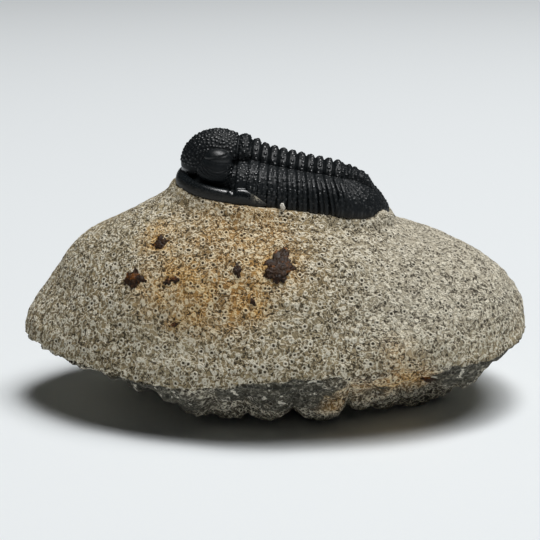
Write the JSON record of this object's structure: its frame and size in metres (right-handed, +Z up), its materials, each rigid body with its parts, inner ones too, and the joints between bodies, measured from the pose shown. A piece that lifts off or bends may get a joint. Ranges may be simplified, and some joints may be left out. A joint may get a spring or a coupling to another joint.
{
  "type": "trilobite fossil on a limestone nodule",
  "caption": "Prepared trilobite fossil, head shield, jointed thorax and tail shield, lying on a lens-shaped limestone nodule with a rough underside.",
  "frame": {"origin": "bottom centre of the stone's box, on the flat that the stone rests on", "axes": "+X from the fossil's head to its tail, +Z up, -Y the fossil's left side"},
  "size_m": [0.0582, 0.0362, 0.0318],
  "materials": {
    "limestone": "matte",
    "fossil_shell": "satin"
  },
  "bodies": {
    "root": {"matrix_stone": "limestone", "cephalon": "fossil_shell", "thoracic_segment_01": "fossil_shell", "thoracic_segment_02": "fossil_shell", "thoracic_segment_03": "fossil_shell", "thoracic_segment_04": "fossil_shell", "thoracic_segment_05": "fossil_shell", "thoracic_segment_06": "fossil_shell", "thoracic_segment_07": "fossil_shell", "thoracic_segment_08": "fossil_shell", "thoracic_segment_09": "fossil_shell", "thoracic_segment_10": "fossil_shell", "pygidium": "fossil_shell"}
  },
  "joints": []
}
